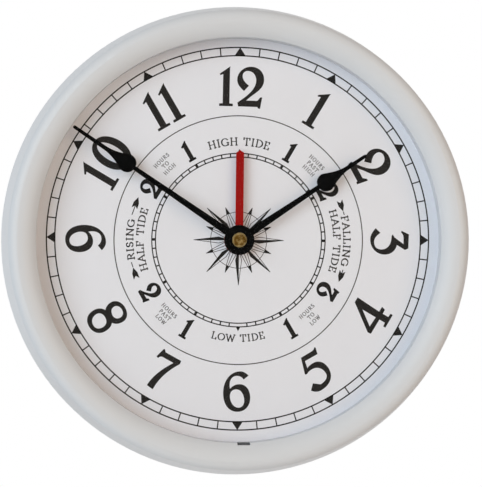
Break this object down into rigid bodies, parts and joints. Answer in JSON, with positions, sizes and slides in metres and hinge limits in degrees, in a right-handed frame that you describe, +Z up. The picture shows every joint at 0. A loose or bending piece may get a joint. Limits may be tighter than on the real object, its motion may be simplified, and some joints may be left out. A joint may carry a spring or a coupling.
{
  "type": "tide clock",
  "caption": "Round white wall clock with a clear lens, spade hour and minute hands, a red tide hand geared to the lunar tide, and a quartz movement on a removable back plate.",
  "frame": {"origin": "centre of the wall plane, on the dial axis, at the rear edge of the rim", "axes": "+Y into the wall, the dial faces -Y; +Z up through twelve; +X to the right of the dial"},
  "size_m": [0.238, 0.0395, 0.238],
  "materials": {
    "rim_plastic": "glossy white",
    "lens_plastic": "clear",
    "dial_paper": "matte printed paper",
    "plate_plastic": "matte white",
    "movement_plastic": "fine matte black",
    "wheel_plastic": "natural white",
    "knob_plastic": "satin black",
    "steel": "zinc plated",
    "nickel": "nickel plated",
    "brass": "turned",
    "rubber": "matte",
    "hand_black": "painted satin black",
    "hand_red": "painted satin red",
    "magnet": "sintered dark grey",
    "copper": "enamelled copper wire",
    "board": "brown laminate",
    "chip": "matte black resin",
    "cell": "plain film label"
  },
  "bodies": {
    "case": {"case_rim": "rim_plastic", "lens": "lens_plastic", "dial": "dial_paper", "back_plate": "plate_plastic", "plate_screws": "steel", "movement_housing": "movement_plastic", "movement_cover": "movement_plastic", "shaft_bush": "brass", "hanger": "steel", "rubber_washer": "rubber", "dial_washer": "brass", "dial_nut": "brass", "stator": "nickel", "coil_core": "nickel", "coil_bobbin": "wheel_plastic", "coil_winding": "copper", "circuit_board": "board", "timing_chip": "chip", "quartz_crystal": "nickel", "contact_positive": "nickel", "contact_negative": "nickel"},
    "minute": {"minute_arbor": "steel", "clutch_washer": "nickel", "minute_hand": "hand_black", "cap_nut": "brass"},
    "motion": {"motion_wheel": "wheel_plastic", "set_knob": "knob_plastic"},
    "hour": {"hour_wheel": "wheel_plastic", "hour_hand": "hand_black"},
    "tide_idler": {"tide_idler": "wheel_plastic"},
    "tide_wheel": {"tide_wheel": "wheel_plastic"},
    "tide_hand": {"tide_hand": "hand_red", "tide_collet": "brass"},
    "intermediate": {"intermediate_wheel": "wheel_plastic"},
    "rotor": {"rotor_pinion": "wheel_plastic", "rotor_magnet": "magnet"},
    "seconds": {"seconds_wheel": "wheel_plastic"},
    "third": {"third_wheel": "wheel_plastic"},
    "centre": {"centre_wheel": "wheel_plastic"},
    "cell": {"battery_cell": "cell"}
  },
  "joints": [
    {"name": "minute_turn", "type": "hinge", "parent": "case", "child": "minute", "pos_m": [0, 0, 0], "axis": [0, 1, 0], "continuous": true},
    {"name": "set_knob_turn", "type": "hinge", "parent": "case", "child": "motion", "pos_m": [-0.01128, 0, -0.0041], "axis": [0, 1, 0], "continuous": true},
    {"name": "hour_turn", "type": "hinge", "parent": "case", "child": "hour", "pos_m": [0, 0, 0], "axis": [0, 1, 0], "continuous": true},
    {"name": "tide_idler_turn", "type": "hinge", "parent": "case", "child": "tide_idler", "pos_m": [0.01233, 0, -0.00449], "axis": [0, 1, 0], "continuous": true},
    {"name": "tide_wheel_turn", "type": "hinge", "parent": "case", "child": "tide_wheel", "pos_m": [0, 0, 0], "axis": [0, 1, 0], "continuous": true},
    {"name": "tide_hand_set", "type": "hinge", "parent": "tide_wheel", "child": "tide_hand", "pos_m": [0, 0, 0], "axis": [0, 1, 0], "continuous": true},
    {"name": "intermediate_turn", "type": "hinge", "parent": "case", "child": "intermediate", "pos_m": [-0.00562, 0, 0.01919], "axis": [0, 1, 0], "continuous": true},
    {"name": "rotor_turn", "type": "hinge", "parent": "case", "child": "rotor", "pos_m": [-0.01265, 0, 0.01795], "axis": [0, 1, 0], "continuous": true},
    {"name": "seconds_turn", "type": "hinge", "parent": "case", "child": "seconds", "pos_m": [0.00134, 0, 0.01733], "axis": [0, 1, 0], "continuous": true},
    {"name": "third_turn", "type": "hinge", "parent": "case", "child": "third", "pos_m": [0.00567, 0, 0.00982], "axis": [0, 1, 0], "continuous": true},
    {"name": "centre_turn", "type": "hinge", "parent": "case", "child": "centre", "pos_m": [0, 0, 0], "axis": [0, 1, 0], "continuous": true},
    {"name": "cell_slide", "type": "slide", "parent": "case", "child": "cell", "axis": [0, 1, 0], "range_m": [0, 0.02]}
  ],
  "couplings": [
    {"joint": "set_knob_turn", "follows": "minute_turn", "ratio": -0.33333},
    {"joint": "hour_turn", "follows": "minute_turn", "ratio": 0.083333},
    {"joint": "tide_idler_turn", "follows": "minute_turn", "ratio": -0.26389},
    {"joint": "tide_wheel_turn", "follows": "minute_turn", "ratio": 0.080508},
    {"joint": "rotor_turn", "follows": "intermediate_turn", "ratio": -6},
    {"joint": "seconds_turn", "follows": "intermediate_turn", "ratio": -0.2},
    {"joint": "third_turn", "follows": "intermediate_turn", "ratio": 0.026667},
    {"joint": "centre_turn", "follows": "intermediate_turn", "ratio": -0.0033333}
  ]
}
